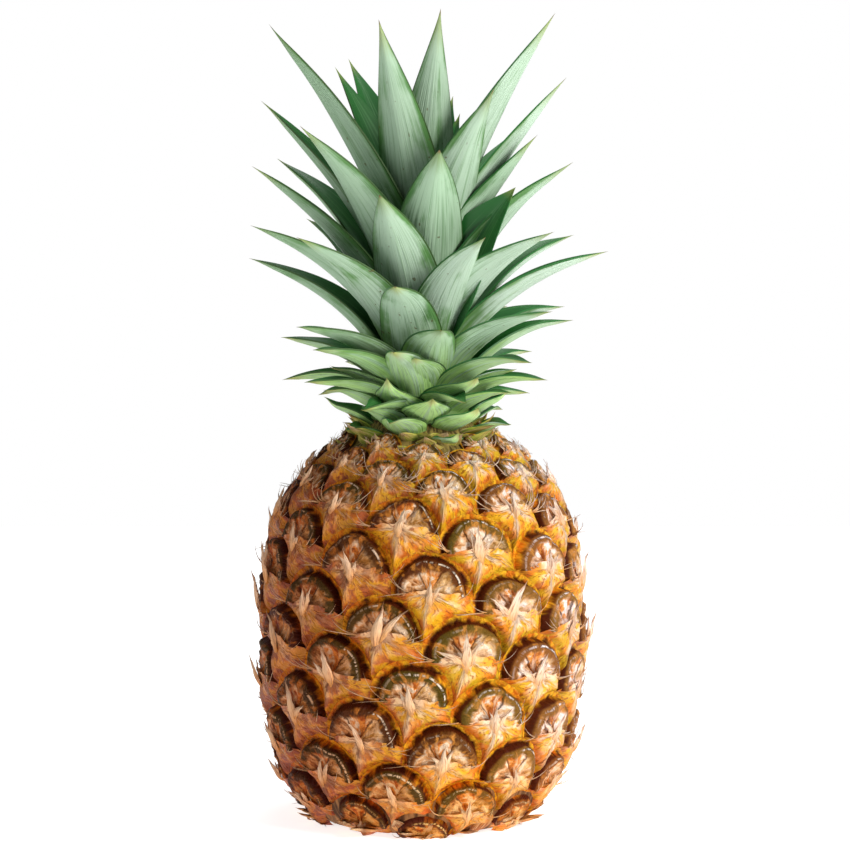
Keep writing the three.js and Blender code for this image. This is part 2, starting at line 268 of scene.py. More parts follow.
# Shares of the way from the middle to the edge, with the height of dome and bract over the outline
RING_SHARES = np.array([0, 0.08, 0.2, 0.32, 0.44, 0.55, 0.64, 0.72, 0.79, 0.84, 0.88, 0.93, 1])
DOME_HEIGHTS = np.array([2.9, 1.5, 1.3, 1.5, 1.9, 2.4, 2.8, 2.9, 2.3, 0.4, -1.3, -0.9, -0.4]) * MM
BRACT_HEIGHTS = np.array([2.9, 3.1, 3.1, 3.0, 2.9, 2.7, 2.4, 2.1, 1.7, 1.2, 0.7, 0, -0.5]) * MM
LIP_REACH = 1.5 * MM
LIP_THICKNESS = 0.7 * MM
LIP_LIFT = 0.5 * MM
LIP_UNDERCUT = 0.5 * MM
LIP_TORN = 1.3
LIP_TOOTH = 4 * MM
KEEL_HEIGHT = 0.7 * MM
KEEL_SPREAD = 0.35
SEPAL_CREASES = (math.radians(58), math.radians(121))
SEPAL_CREASE_DEPTH = 1.3 * MM
SEPAL_CREASE_WIDTH = math.radians(8)
SEPAL_CREASE_DRIFT = math.radians(12)
DOME_UNEVENNESS = 0.55
CRUMPLE_DEPTH = 0.55 * MM
CRUMPLE_SCALE = 2.2 * MM
COARSE_DEPTH = 0.9 * MM
COARSE_SCALE = 8 * MM
FINE_DEPTH = 0.45 * MM
FINE_SCALE = 2.5 * MM
# How much of the relief is left in the grooves, where the eyes are welded
GROOVE_RELIEF = 0.35
RINGS = len(RING_SHARES) - 1
KEEL_COLUMN = np.argmin(edge[:, 1])
spoke_angles_of_dome = np.unwrap(np.arctan2(*(upper_edge - EYE_MIDDLE).T[::-1]))

SMOOTH_UNDER = 45


def deselect_all():
    """Leaves nothing selected, so that the next operator works on its own object alone."""
    bpy.ops.object.select_all(action="DESELECT")


def grid_template(name, across, along):
    """A flat grid to be bent into shape, with each vertex's column and row."""
    deselect_all()
    bpy.ops.mesh.primitive_grid_add(x_subdivisions=across, y_subdivisions=along, size=1)
    template = bpy.context.object
    template.name = name
    template.data.uv_layers[0].name = "place"
    places = np.empty(len(template.data.vertices) * 3)
    template.data.vertices.foreach_get("co", places)
    places = places.reshape(-1, 3)
    columns = np.rint((places[:, 0] + 0.5) * across).astype(int)
    rows = np.rint((places[:, 1] + 0.5) * along).astype(int)
    return template, columns, rows


def face_columns(template, across):
    """The column of each face of a grid, from its middle."""
    return [int((face.center.x + 0.5) * across) for face in template.data.polygons]


def set_points(piece, points):
    """Moves all of a piece's vertices."""
    piece.data.vertices.foreach_set("co", np.asarray(points, dtype=np.float32).ravel())
    piece.data.update()


def shaped_copy(template, points, draws):
    """A copy of a template with its own mesh, shape and two random draws for its colours."""
    piece = template.copy()
    piece.data = template.data.copy()
    bpy.context.collection.objects.link(piece)
    set_points(piece, points)
    layer = piece.data.uv_layers.new(name="draw")
    layer.data.foreach_set("uv", np.tile(np.array(draws, dtype=np.float32), len(layer.data)))
    piece.data.uv_layers["place"].active = True
    return piece


def join_copies(name, copies, weld):
    """Joins the copies into one piece, welds what touches and turns its faces outwards."""
    deselect_all()
    for piece in copies:
        piece.select_set(True)
    whole = copies[0]
    bpy.context.view_layer.objects.active = whole
    bpy.ops.object.join()
    whole.name = name
    bpy.ops.object.mode_set(mode="EDIT")
    bpy.ops.mesh.select_all(action="SELECT")
    bpy.ops.mesh.remove_doubles(threshold=weld)
    bpy.ops.mesh.normals_make_consistent(inside=False)
    bpy.ops.object.mode_set(mode="OBJECT")
    bpy.ops.object.shade_smooth_by_angle(angle=math.radians(SMOOTH_UNDER))
    return whole


def rough_noise(points, scale, salt):
    """Smooth noise between -1 and 1 at each point."""
    shift = Vector((salt * 7.3, salt * 3.1, salt * 5.7))
    flat = points.reshape(-1, 3) / scale
    values = np.array([noise.noise(Vector(point) + shift) for point in flat])
    return values.reshape(points.shape[:-1])


X_AXIS = 0
Z_AXIS = 2
SEED_SPREAD = 40.0


class Paint:
    """The nodes of one material, with a short call for each kind that is used often."""

    def __init__(self, name, roughness, specular=0.5):
        self.material = bpy.data.materials.new(name)
        self.material.use_nodes = True
        self.tree = self.material.node_tree
        self.shader = self.tree.nodes["Principled BSDF"]
        self.shader.inputs["Roughness"].default_value = roughness
        self.shader.inputs["Specular IOR Level"].default_value = specular

    def feed(self, socket, value):
        if isinstance(value, bpy.types.NodeSocket):
            self.tree.links.new(value, socket)
        elif isinstance(value, tuple) and len(value) < len(socket.default_value):
            socket.default_value = (*value, 1)
        else:
            socket.default_value = value

    def node(self, kind, inputs, output=0, **settings):
        made = self.tree.nodes.new("ShaderNode" + kind)
        for setting, value in settings.items():
            setattr(made, setting, value)
        for socket, value in inputs.items():
            self.feed(made.inputs[socket], value)
        return made.outputs[output]

    def uv(self, layer):
        """The two parts of a UV map, as numbers."""
        split = self.node("SeparateXYZ", {0: self.node("UVMap", {}, uv_map=layer)}).node
        return split.outputs[0], split.outputs[1]

    def draws(self):
        """A copy's two random draws, and the seed that gives its noise another pattern."""
        first, second = self.uv("draw")
        return first, second, self.times(first, SEED_SPREAD)

    def maths(self, operation, first, second=0.0):
        return self.node("Math", {0: first, 1: second}, operation=operation)

    def times(self, first, second):
        return self.maths("MULTIPLY", first, second)

    def plus(self, first, second):
        return self.maths("ADD", first, second)

    def grain(self, across, along, scales, seed, detail):
        """Smooth noise about 0.5, with its own scale across and along."""
        place = {0: self.times(across, scales[0]), 1: self.times(along, scales[1]), 2: seed}
        inputs = {"Vector": self.node("CombineXYZ", place), "Scale": 1.0, "Detail": detail}
        return self.node("TexNoise", inputs)

    def swing(self, value, reach):
        """A value about 0.5 turned into one about 0, times the reach."""
        return self.times(self.plus(value, -0.5), reach)

    def between(self, value, low, high):
        """A soft step from 0 at low to 1 at high."""
        inputs = {"Value": value, "From Min": low, "From Max": high}
        return self.node("MapRange", inputs, interpolation_type="SMOOTHSTEP")

    def step_along(self, axis, start, end):
        """A soft step from 0 to 1 between two places on an axis of the object."""
        spot = self.node("TexCoord", {}, output="Object")
        return self.between(self.node("SeparateXYZ", {0: spot}, output=axis), start, end)

    def ramp(self, value, stops):
        """The colour at a value, between stops of (value, colour)."""
        colour = self.node("ValToRGB", {0: value})
        band = colour.node.color_ramp
        while len(band.elements) < len(stops):
            band.elements.new(0.5)
        for element, (position, stop) in zip(band.elements, stops):
            element.position = position
            element.color = (*stop, 1)
        return colour

    def mix(self, share, first, second, blend="MIX"):
        inputs = {0: share, 6: first, 7: second}
        return self.node("Mix", inputs, output=2, data_type="RGBA", blend_type=blend)

    def finish(self, colour, height=None, depth=0.0):
        """Sets the colour and, from a height map, the fine relief of that depth."""
        self.feed(self.shader.inputs["Base Color"], colour)
        if height is not None:
            inputs = {"Height": height, "Distance": depth, "Strength": 1.0}
            self.feed(self.shader.inputs["Normal"], self.node("Bump", inputs))
        return self.material


def painted_side_light_and_tint(paint, colour):
    """Painted shade that browns the fruit's left flank and painted light that pales its right, with a
    paler shoulder and a more orange foot.
    """
    # Painted shade darkens the fruit's left and painted light pales its right, as the key light falls
    # from the right
    painted_shade_on_left = paint.step_along(X_AXIS, 0.03, -0.05)
    colour = paint.mix(painted_shade_on_left, colour, (0.57, 0.32, 0.2), "MULTIPLY")
    painted_light_on_right = paint.step_along(X_AXIS, 0.0, 0.055)
    colour = paint.mix(painted_light_on_right, colour, (0.97, 0.98, 1.25), "MULTIPLY")
    foot = paint.step_along(Z_AXIS, 0.045, 0.004)
    colour = paint.mix(foot, colour, (1.0, 0.72, 0.3), "MULTIPLY")
    shoulder = paint.step_along(Z_AXIS, 0.12, 0.142)
    return paint.mix(shoulder, colour, (1.05, 1.2, 1.5), "MULTIPLY")


# How far the noise bends the lines of dome and bract, and the half width of a crease, as shares of
# the way round an eye
DOME_BEND = 0.06
BRACT_BEND = 0.08
CREASE_SHARE = 0.012


# Old flower scars: a tan middle with lines that run out from it and painted shade in its creases,
# inside a dark rim with pale beads that carry a painted highlight, and a yellow margin in the groove
# round it, with painted shade where it sinks
def dome_paint():
    paint = Paint("eye_dome", 0.5, specular=0.1)
    around, share = paint.uv("polar")
    flat_x, flat_y = paint.uv("flat")
    second_draw, seed = paint.draws()[1:]
    patch = paint.grain(flat_x, flat_y, (16.0, 16.0), seed, 4.0)
    fleck = paint.grain(flat_x, flat_y, (42.0, 42.0), seed, 3.0)
    bent = paint.plus(around, paint.times(patch, DOME_BEND))
    streak = paint.grain(bent, share, (30.0, 2.2), seed, 4.0)
    fine = paint.grain(bent, share, (90.0, 4.0), seed, 3.0)
    blotch = paint.grain(around, share, (7.0, 3.0), seed, 3.0)

    # Three dried flaps close over the scar: a tan one on the right, a red one on top, a brown one left
    right_crease, left_crease = (
        np.interp(crease, spoke_angles_of_dome, np.arange(len(upper_edge))) / SPOKES + DOME_BEND / 2
        for crease in SEPAL_CREASES
    )
    past_right, past_left = (
        paint.between(bent, crease - CREASE_SHARE, crease + CREASE_SHARE)
        for crease in (right_crease, left_crease)
    )
    light = paint.mix(past_right, (0.9, 0.58, 0.26), (0.88, 0.34, 0.06))
    light = paint.mix(past_left, light, (0.74, 0.38, 0.15))
    shade = paint.mix(past_right, (0.5, 0.24, 0.05), (0.42, 0.1, 0.012))
    shade = paint.mix(past_left, shade, (0.27, 0.09, 0.015))
    middle = paint.mix(paint.between(patch, 0.36, 0.54), shade, light)
    pale = paint.times(paint.between(streak, 0.46, 0.62), 0.8)
    middle = paint.mix(pale, middle, (0.93, 0.62, 0.35))
    middle = paint.mix(paint.between(patch, 0.51, 0.62), middle, (1.0, 0.82, 0.6))
    lines = paint.times(paint.between(fine, 0.58, 0.68), 0.35)
    middle = paint.mix(lines, middle, (0.16, 0.035, 0.006))
    # Painted shade: near-black lines along the two creases between the flaps
    for crease in (right_crease, left_crease):
        aside = paint.maths("ABSOLUTE", paint.plus(bent, -crease))
        dark = paint.times(paint.between(aside, CREASE_SHARE, 0.0), paint.between(share, 0.1, 0.3))
        middle = paint.mix(paint.times(dark, 0.85), middle, (0.05, 0.012, 0.003))

    # The rim is brown or olive, torn along its inner edge, and lighter on the fruit's right with
    # painted light
    rim = paint.mix(paint.between(second_draw, 0.2, 0.8), (0.1, 0.025, 0.003), (0.09, 0.06, 0.004))
    rim = paint.mix(paint.between(streak, 0.5, 0.68), rim, (0.6, 0.25, 0.04))
    # Painted light: the rim is lightened towards the fruit's right, where the key light falls
    painted_light_on_right = paint.times(paint.step_along(X_AXIS, 0.0, 0.05), 0.4)
    rim = paint.mix(painted_light_on_right, rim, (0.5, 0.2, 0.035))
    torn = paint.plus(paint.plus(share, paint.swing(streak, 0.3)), paint.swing(blotch, 0.4))
    colour = paint.mix(paint.between(torn, 0.5, 0.64), middle, rim)

    # Pale beads stand on the rim, most of them on its upper right: their pale colour is partly a
    # painted highlight where the light falls
    bead_and_highlight = paint.times(paint.between(share, 0.7, 0.725), paint.between(share, 0.775, 0.75))
    bead_and_highlight = paint.times(bead_and_highlight, paint.between(fine, 0.42, 0.52))
    bead_and_highlight = paint.times(bead_and_highlight, paint.between(blotch, 0.42, 0.54))
    # The painted highlight on the beads is strongest on each rim's upper right, towards the light
    lit_upper_right = paint.between(around, 0.34, 0.22)
    bead_and_highlight = paint.times(bead_and_highlight, paint.plus(paint.times(lit_upper_right, 0.8), 0.2))
    colour = paint.mix(bead_and_highlight, colour, (0.97, 0.85, 0.68))
    margin = paint.mix(paint.between(patch, 0.35, 0.65), (0.75, 0.2, 0.008), (0.98, 0.52, 0.02))
    lines = paint.times(paint.between(fine, 0.5, 0.64), 0.5)
    margin = paint.mix(lines, margin, (0.35, 0.06, 0.004))
    # Painted shade: the groove darkens to near black next to the dome, over its own dark brown, before
    # the yellow margin
    groove = paint.mix(paint.between(torn, 0.84, 0.97), (0.07, 0.012, 0.002), margin)
    colour = paint.mix(paint.between(share, 0.78, 0.82), colour, groove)
    # Painted shade on the fruit's left flank and painted light on its right
    colour = painted_side_light_and_tint(paint, colour)
    height = paint.plus(paint.plus(streak, paint.times(fine, 0.5)), paint.plus(bead_and_highlight, fleck))
    return paint.finish(colour, height, 0.0012)


# Bracts: golden and orange, redder at the lip, with pale fibres that run down from the tip's root, and
# dark brown blotches of painted shade on the fruit's left
def bract_paint():
    paint = Paint("eye_bract", 0.45, specular=0.3)
    around, share = paint.uv("polar")
    flat_x, flat_y = paint.uv("flat")
    second_draw, seed = paint.draws()[1:]
    blotch = paint.grain(flat_x, flat_y, (11.0, 11.0), seed, 4.0)
    bent = paint.plus(around, paint.times(blotch, BRACT_BEND))
    fibre = paint.grain(bent, share, (30.0, 1.8), seed, 4.0)
    fine = paint.grain(bent, share, (120.0, 5.0), seed, 2.0)
    wavy = paint.plus(share, paint.swing(blotch, 0.6))
    stops = [
        (0.0, (0.9, 0.5, 0.22)),
        (0.25, (0.95, 0.44, 0.06)),
        (0.5, (0.95, 0.38, 0.01)),
        (0.75, (0.85, 0.22, 0.005)),
        (1.0, (0.55, 0.1, 0.004)),
    ]
    colour = paint.ramp(wavy, stops)
    yellow = paint.times(paint.between(blotch, 0.4, 0.6), paint.between(share, 0.2, 0.45))
    unripe = paint.mix(second_draw, (0.98, 0.54, 0.012), (0.66, 0.42, 0.01))
    colour = paint.mix(paint.times(yellow, 0.85), colour, unripe)
    lip = paint.between(paint.plus(flat_y, paint.times(fibre, 0.06)), 0.47, 0.52)
    colour = paint.mix(paint.times(lip, paint.between(share, 0.2, 0.5)), colour, (0.55, 0.11, 0.01))
    pale = paint.times(paint.between(fibre, 0.45, 0.62), paint.between(wavy, 0.95, 0.35))
    colour = paint.mix(pale, colour, (0.95, 0.7, 0.4))
    keel_place = KEEL_COLUMN / SPOKES + BRACT_BEND / 2
    keel = paint.maths("ABSOLUTE", paint.plus(bent, -keel_place))
    star = paint.maths("MAXIMUM", paint.between(keel, 0.08, 0.0), paint.between(wavy, 0.4, 0.15))
    star = paint.times(star, paint.between(wavy, 0.9, 0.4))
    colour = paint.mix(paint.times(star, 0.85), colour, (0.95, 0.7, 0.43))
    dark = paint.times(paint.between(fine, 0.55, 0.66), 0.7)
    colour = paint.mix(dark, colour, (0.3, 0.05, 0.003))
    # Painted shade: dark brown blotches on the fruit's left flank, which is turned away from the key
    # light
    shaded_left_flank = paint.step_along(X_AXIS, 0.02, -0.04)
    left_flank_shade_blotches = paint.times(shaded_left_flank, paint.between(blotch, 0.53, 0.43))
    colour = paint.mix(paint.times(left_flank_shade_blotches, 0.75), colour, (0.3, 0.08, 0.02))
    # Painted shade on the fruit's left flank and painted light on its right
    colour = painted_side_light_and_tint(paint, colour)
    height = paint.plus(fibre, paint.times(fine, 0.6))
    return paint.finish(colour, height, 0.0016)


eye, eye_columns, eye_rows = grid_template("eye", SPOKES, RINGS)
shares = RING_SHARES[eye_rows]
kinds = spoke_kinds[eye_columns]
flat_places = EYE_MIDDLE + shares[:, None] * (edge[eye_columns] - EYE_MIDDLE)
spoke_angles = np.arctan2(*(edge[eye_columns] - EYE_MIDDLE).T[::-1])
on_dome = kinds == DOME
at_lip = (kinds == LIP) | (kinds == UNDER_LIP)
lip_taper = 1 - shares**3
down_the_bract = np.arctan2(*(corner_bottom - EYE_MIDDLE)[::-1])


def eye_points(index):
    """The vertices of one eye of the skin."""
    round_it = np.stack([np.cos(spoke_angles), np.sin(spoke_angles), 0 * shares + index], axis=-1)
    reach = shares ** (1 + on_dome * DOME_UNEVENNESS * rough_noise(round_it, 0.8, 4))
    places = EYE_MIDDLE + reach[:, None] * (edge[eye_columns] - EYE_MIDDLE)
    heights = np.where(on_dome, DOME_HEIGHTS[eye_rows], BRACT_HEIGHTS[eye_rows])
    middle = np.sin(np.pi * shares)
    for crease in SEPAL_CREASES:
        turn = crease + SEPAL_CREASE_DRIFT * scatter(index, crease)
        dip = np.exp(-(((spoke_angles - turn) / SEPAL_CREASE_WIDTH) ** 2))
        heights -= on_dome * SEPAL_CREASE_DEPTH * dip * middle
    keel = np.exp(-(((spoke_angles - down_the_bract) / KEEL_SPREAD) ** 2))
    heights += ~on_dome * KEEL_HEIGHT * keel * middle
    along_lip = np.stack([places[:, 0], np.full(len(places), index * 9 * MM), 0 * shares], axis=-1)
    ragged = 1 + 0.4 * scatter(index, 9) + LIP_TORN * rough_noise(along_lip, LIP_TOOTH, 3)
    places[:, 1] += np.where(at_lip, LIP_REACH * ragged * lip_taper, 0)
    places[:, 1] -= np.where(kinds == UNDER_LIP, LIP_UNDERCUT * lip_taper, 0)
    heights += np.where(at_lip, LIP_LIFT * lip_taper, 0)
    heights -= np.where(kinds == UNDER_LIP, LIP_THICKNESS * lip_taper, 0)
    vigour = 0.15 * scatter(index, 1)
    heights *= 1 + vigour * (1 - shares**4)
    turns = EYE_PHASE + index * EYE_TURN + places[:, 0] / FRUIT_RADIUS
    levels = index + places[:, 1] / EYE_RISE
    points = on_barrel(turns, levels, heights * cell_size(levels))
    waver = np.where(on_dome, CRUMPLE_DEPTH * rough_noise(points, CRUMPLE_SCALE, 5), 0)
    waver += COARSE_DEPTH * rough_noise(points, COARSE_SCALE, 1)
    waver += FINE_DEPTH * rough_noise(points, FINE_SCALE, 2)
    waver *= GROOVE_RELIEF + (1 - GROOVE_RELIEF) * middle
    outward = on_barrel(turns, levels, heights + MM) - on_barrel(turns, levels, heights)
    return points + outward / MM * waver[:, None]


eye.data.materials.append(dome_paint())
eye.data.materials.append(bract_paint())
for face, column in zip(eye.data.polygons, face_columns(eye, SPOKES)):
    face.material_index = int(column >= len(upper_edge) - 1)


def add_map(piece, name, places):
    """A UV map with a place for each vertex."""
    layer = piece.data.uv_layers.new(name=name)
    corners = np.empty(len(piece.data.loops), dtype=int)
    piece.data.loops.foreach_get("vertex_index", corners)
    layer.data.foreach_set("uv", np.asarray(places)[corners].astype(np.float32).ravel())


FLAT_SPAN = 50 * MM
EYE_WELD = 0.02 * MM
CUT_SLACK = 0.001 * MM
add_map(eye, "flat", flat_places / FLAT_SPAN + 0.5)
add_map(eye, "polar", np.stack([eye_columns / SPOKES, shares], axis=-1))

eye_indices = range(CELL_REACH, int(LAST_LEVEL) - CELL_REACH + 1)
eyes = []
for index in eye_indices:
    eyes.append(shaped_copy(eye, eye_points(index), draw_pair(index, 11)))
skin = join_copies("fruit_skin", eyes, EYE_WELD)
bpy.data.objects.remove(eye)
# The floor cuts off the lowest eyes
bpy.ops.object.mode_set(mode="EDIT")
bpy.ops.mesh.select_all(action="SELECT")
bpy.ops.mesh.bisect(plane_co=(0, 0, 0), plane_no=(0, 0, 1), clear_inner=True, threshold=CUT_SLACK)
bpy.ops.object.mode_set(mode="OBJECT")
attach(skin, "root")
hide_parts("fruit")


# Dry tips of the bracts
# Each bract ends in a thin papery point that dried pale, split and curled up over the scar above it.
# They are thin folded blades that grew out of the lips.
BLADE_CURVE_STEPS = 200
BLADE_EDGE = 0.4
BLADE_WELD = 0.01 * MM
BASE_SHARE = 0.3
FOLD_ROUNDNESS = 1.6
POINT_THINNING = 5
CURL_START = 0.6
RAGGED_SCALE = 1.7 * MM
FLOOR_GAP = 0.2 * MM


def unit(vectors):
    """The vectors at a length of one."""
    return vectors / np.linalg.norm(vectors, axis=-1, keepdims=True)


def curve_places(start, middle, end, shares):
    """Points and directions at shares of the length of the curve bent towards the middle point."""
    steps = np.linspace(0, 1, BLADE_CURVE_STEPS)[:, None]
    curve = (1 - steps) ** 2 * start + 2 * steps * (1 - steps) * middle + steps**2 * end
    lengths = np.concatenate([[0], np.cumsum(np.linalg.norm(np.diff(curve, axis=0), axis=1))])
    wanted = np.clip(shares, 0, 1) * lengths[-1]
    points = np.stack([np.interp(wanted, lengths, curve[:, axis]) for axis in range(3)], axis=-1)
    runs = np.gradient(curve, axis=0)
    runs = np.stack([np.interp(wanted, lengths, runs[:, axis]) for axis in range(3)], axis=-1)
    return points, unit(runs)


class Blade:
    """The grid of one thin blade, wrapped round its section: the outer face, then the inner one."""

    def __init__(self, name, steps_across, steps_along, outer, inner):
        across = np.linspace(-1, 1, steps_across + 1)
        places = np.concatenate([across, across[::-1], [-1]])
        faces = np.array([-1] * len(across) + [1] * len(across) + [-1])
        # The first row closes the root, and the second has the same place
        row_shares = np.concatenate([[0], np.linspace(0, 1, steps_along + 1) ** 0.9])
        loop = len(places) - 1
        self.template, columns, rows = grid_template(name, loop, len(row_shares) - 1)
        self.place = places[columns]
        self.face = faces[columns]
        self.share = row_shares[rows]
        self.at_root = rows == 0
        self.template.data.materials.append(outer)
        self.template.data.materials.append(inner)
        for face, column in zip(self.template.data.polygons, face_columns(self.template, loop)):
            face.material_index = int(column > steps_across)
        add_map(self.template, "along", np.stack([self.place / 2 + 0.5, self.share], axis=-1))

    def copy(self, index, start, middle, end, sideways, shape):
        """One blade along the curve from start to end, bent towards the middle point."""
        centre, run = curve_places(start, middle, end, self.share)
        across = unit(sideways - run * (run @ sideways)[:, None])
        inner = -np.cross(across, run)
        base = shape["base"] + (1 - shape["base"]) * smooth(0, BASE_SHARE, self.share)
        point = np.cos(math.pi / 2 * self.share ** shape["fullness"]) ** shape["slimness"]
        half = shape["width"] / 2 * base * point
        spot = centre + across * (self.place * half)[:, None]
        spot += inner * (shape["fold"] * half * abs(self.place) ** FOLD_ROUNDNESS)[:, None]
        edge_thickness = shape["thickness"] * BLADE_EDGE
        thickness = edge_thickness + (shape["thickness"] - edge_thickness) * (1 - self.place**2)
        thickness = thickness * np.clip(point * POINT_THINNING, 0, 1)
        spot += inner * (self.face * thickness / 2)[:, None]
        curl = smooth(CURL_START, 1, self.share) ** 2
        spot += inner * (shape["curl"] * curl)[:, None]
        spot += across * (shape["twist"] * np.sin(math.pi * self.share) * self.place**2)[:, None]
        spot[self.at_root] = start
        if "ragged" in shape:
            drift = [noise.noise_vector(Vector(point)) for point in spot / RAGGED_SCALE]
            spot += shape["ragged"] * np.array(drift)
        spot[:, 2] = np.maximum(spot[:, 2], FLOOR_GAP)
        return shaped_copy(self.template, spot, draw_pair(index, 31))


TIP_ROOT = -6 * MM
TIP_LENGTH = 15 * MM
TIP_WIDTH = 3.9 * MM
TIP_LEAN = 3.5 * MM
PRONG_ROOT = -3.5 * MM
PRONG_LENGTH = 11 * MM
PRONG_WIDTH = 2.8 * MM
PRONG_ANGLE = 38
PRONG_ANGLE_SPREAD = 22
# A prong grows where its draw between -1 and 1 is above this
PRONG_DRAW = -0.2


def eye_place(index, x, y, raised):
    """A point at a flat place of an eye, raised off the outline."""
    turn = EYE_PHASE + index * EYE_TURN + x / FRUIT_RADIUS
    level = index + y / EYE_RISE
    return on_barrel(turn, level, raised * float(cell_size(level)))


def eye_sideways(index):
    """The direction along the skin to the right of an eye."""
    turn = EYE_PHASE + index * EYE_TURN
    return np.array([math.cos(turn), math.sin(turn), 0])


def tip_paint():
    """Straw that pales towards the point, with brown fibres and a brown end, and part of the fruit's
    painted side light and shade.
    """
    paint = Paint("dry_tip", 0.6, specular=0.3)
    across, share = paint.uv("along")
    seed = paint.draws()[2]
    fibre = paint.grain(across, share, (9.0, 3.0), seed, 5.0)
    wavy = paint.plus(share, paint.swing(fibre, 0.8))
    stops = [
        (0.0, (0.8, 0.36, 0.08)),
        (0.3, (0.93, 0.6, 0.32)),
        (0.7, (1.0, 0.82, 0.6)),
        (1.0, (0.5, 0.22, 0.08)),
    ]
    colour = paint.ramp(wavy, stops)
    dark = paint.times(paint.between(fibre, 0.5, 0.64), 0.75)
    colour = paint.mix(dark, colour, (0.45, 0.15, 0.04))
    # Part of the fruit's painted shade on its left and painted light on its right
    colour = paint.mix(0.6, colour, painted_side_light_and_tint(paint, colour))
    return paint.finish(colour, fibre, 0.001)


tip_material = tip_paint()
tip_blade = Blade("tip", 4, 10, tip_material, tip_material)
tips = []
for index in eye_indices:
    sideways = eye_sideways(index)
    size = (1 + 0.25 * scatter(index, 51)) * float(cell_size(index))
    lean = TIP_LEAN * scatter(index, 52)
    shape = {
        "base": 0.35,
        "fullness": 1.1,
        "slimness": 1.5,
        "width": TIP_WIDTH * size * (1 + 0.2 * scatter(index, 53)),
        "fold": 0.45,
        "thickness": 0.9 * MM,
        "curl": -1.5 * size * MM * (0.6 + scatter(index, 54)),
        "twist": 0.8 * scatter(index, 55) * MM,
        "ragged": 0.45 * MM,
    }
    start = eye_place(index, -0.3 * lean, TIP_ROOT, 2.6 * MM)
    end_y = TIP_ROOT + TIP_LENGTH * size
    end = eye_place(index, lean, end_y, (5.0 + 1.5 * scatter(index, 56)) * MM)
    middle = eye_place(index, -0.4 * lean, TIP_ROOT + end_y / 2, 5.6 * MM)
    tips.append(tip_blade.copy(index, start, middle, end, sideways, shape))
    for side in (-1, 1):
        if scatter(index, 57 + side) < PRONG_DRAW:
            continue
        reach = PRONG_LENGTH * size * (1 + 0.3 * scatter(index, 60 + side))
        angle = PRONG_ANGLE + PRONG_ANGLE_SPREAD * scatter(index, 63 + side)
        spread = side * math.radians(angle)
        prong = dict(shape, width=PRONG_WIDTH * size, thickness=0.6 * MM, curl=-MM)
        start = eye_place(index, side * MM, PRONG_ROOT, 3.4 * MM)
        x = reach * math.sin(spread)
        y = reach * math.cos(spread) + PRONG_ROOT
        end = eye_place(index, x, y, (3.6 + 1.2 * scatter(index, 66 + side)) * MM)
        middle = eye_place(index, 0.35 * x, 0.6 * y, 4.6 * MM)
        tips.append(tip_blade.copy(index + side, start, middle, end, sideways, prong))
bpy.data.objects.remove(tip_blade.template)
bract_tips = join_copies("bract_tips", tips, BLADE_WELD)
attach(bract_tips, "root")
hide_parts("fruit")

# Dry fibres
# Thin strands that frayed off the edges of the bracts and stand off the skin in loose hooks. They
# are pale and stiff like straw.
STRAND_SIDES = 3
STRAND_STEPS = 9
STRAND_WIDTH = 0.45 * MM
STRAND_TAPER = 0.75
STRAND_WELD = 0.001 * MM
STRANDS_PER_EYE = 5
STRANDS_ON_SHOULDER = 13
SHOULDER_LEVEL = 84
SHOULDER_REACH = 1.5
strand, strand_columns, strand_rows = grid_template("strand", STRAND_SIDES, STRAND_STEPS + 2)
strand_shares = np.concatenate([[0], np.linspace(0, 1, STRAND_STEPS + 1), [1]])[strand_rows]
strand_closed = (strand_rows == 0) | (strand_rows == STRAND_STEPS + 2)
strand.data.materials.append(tip_material)
add_map(strand, "along", np.stack([strand_columns / STRAND_SIDES, strand_shares], axis=-1))


def strand_copy(index, start, middle, end, width):
    """A tapered three-sided strand along the curve from start to end."""
    centre, run = curve_places(start, middle, end, strand_shares)
    aside = unit(np.cross(run, unit(middle) + [0.13, 0.07, 0.03]))
    other = np.cross(run, aside)
    turn = 2 * math.pi * strand_columns / STRAND_SIDES
    radius = width / 2 * (1 - STRAND_TAPER * strand_shares) * ~strand_closed
    points = centre + aside * (radius * np.cos(turn))[:, None]
    points += other * (radius * np.sin(turn))[:, None]
    points[:, 2] = np.maximum(points[:, 2], FLOOR_GAP)
    return shaped_copy(strand, points, draw_pair(index, 31))


strands = []
for index in eye_indices:
    size = float(cell_size(index))
    on_shoulder = index > SHOULDER_LEVEL
    for n in range(STRANDS_ON_SHOULDER if on_shoulder else STRANDS_PER_EYE):
        key = index * STRANDS_ON_SHOULDER + n
        side = 1 if scatter(key, 71) > 0 else -1
        x = side * (4 + 9 * abs(scatter(key, 72))) * MM
        y = (-1 - 0.25 * abs(x) / MM) * MM if side > 0 else -0.5 * MM
        reach = (6 + 5 * abs(scatter(key, 73)) + 7 * abs(scatter(key, 77)) ** 6) * MM * size
        reach *= SHOULDER_REACH if on_shoulder else 1
        direction = math.radians(90 - side * (30 + 70 * abs(scatter(key, 74))))
        lift = (1.5 + 4.5 * abs(scatter(key, 75)) ** 2) * MM
        end_x = x + reach * math.cos(direction)
        end_y = y + reach * math.sin(direction)
        start = eye_place(index, x, y, 2.2 * MM)
        end = eye_place(index, end_x, end_y, 2.0 * MM + lift)
        # The bend comes near the end across the eye, and near the start up it, which makes a hook
        bend_x = x + 0.7 * (end_x - x)
        bend_y = y + 0.2 * (end_y - y)
        middle = eye_place(index, bend_x, bend_y, 3.5 * MM + lift / 2)
        width = STRAND_WIDTH + 0.2 * scatter(key, 76) * MM
        strands.append(strand_copy(key, start, middle, end, width))
bpy.data.objects.remove(strand)
fibres = join_copies("dry_fibres", strands, STRAND_WELD)
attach(fibres, "root")
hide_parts("fruit")

